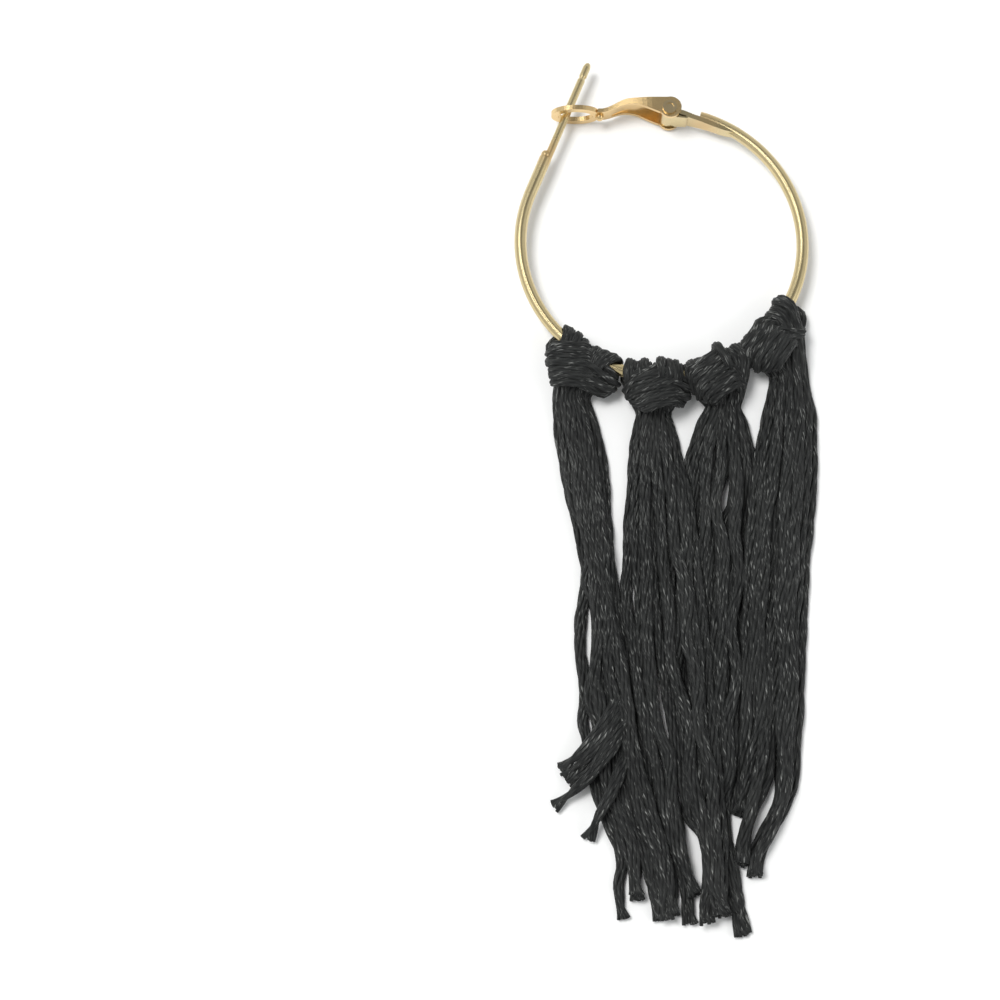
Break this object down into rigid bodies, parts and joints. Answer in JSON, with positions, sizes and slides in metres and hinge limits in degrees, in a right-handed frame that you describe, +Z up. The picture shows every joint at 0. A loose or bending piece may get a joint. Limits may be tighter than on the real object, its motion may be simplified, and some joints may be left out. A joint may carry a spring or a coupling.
{
  "type": "tassel earring",
  "caption": "Round hoop earring with a lever-back clasp and black floss tassels tied on with loop knots, lying flat.",
  "frame": {"origin": "middle of the overall box at its bottom, on the surface that the earring lies on", "axes": "+Y from the fringe's ends to the clasp, +Z up from the surface, +X to the right with the hinge side of the clasp"},
  "size_m": [0.0304, 0.0898, 0.0043],
  "materials": {
    "gold_plate": "gold-plated brass tube, polished",
    "rivet_gold": "gold-plated brass, peened",
    "lever_gold": "gold-plated stamped brass sheet",
    "black_floss": "twisted cotton floss, soft sheen"
  },
  "bodies": {
    "hoop": {"hoop": "gold_plate", "tassel_1": "black_floss", "tassel_2": "black_floss", "tassel_3": "black_floss", "tassel_4": "black_floss"},
    "lever": {"lever": "lever_gold", "rivet": "rivet_gold"}
  },
  "joints": [
    {"name": "lever_hinge", "type": "hinge", "parent": "hoop", "child": "lever", "pos_m": [0.0008, 0.03914, 0.002], "axis": [0, 0, -1], "range_deg": [0, 70]}
  ]
}
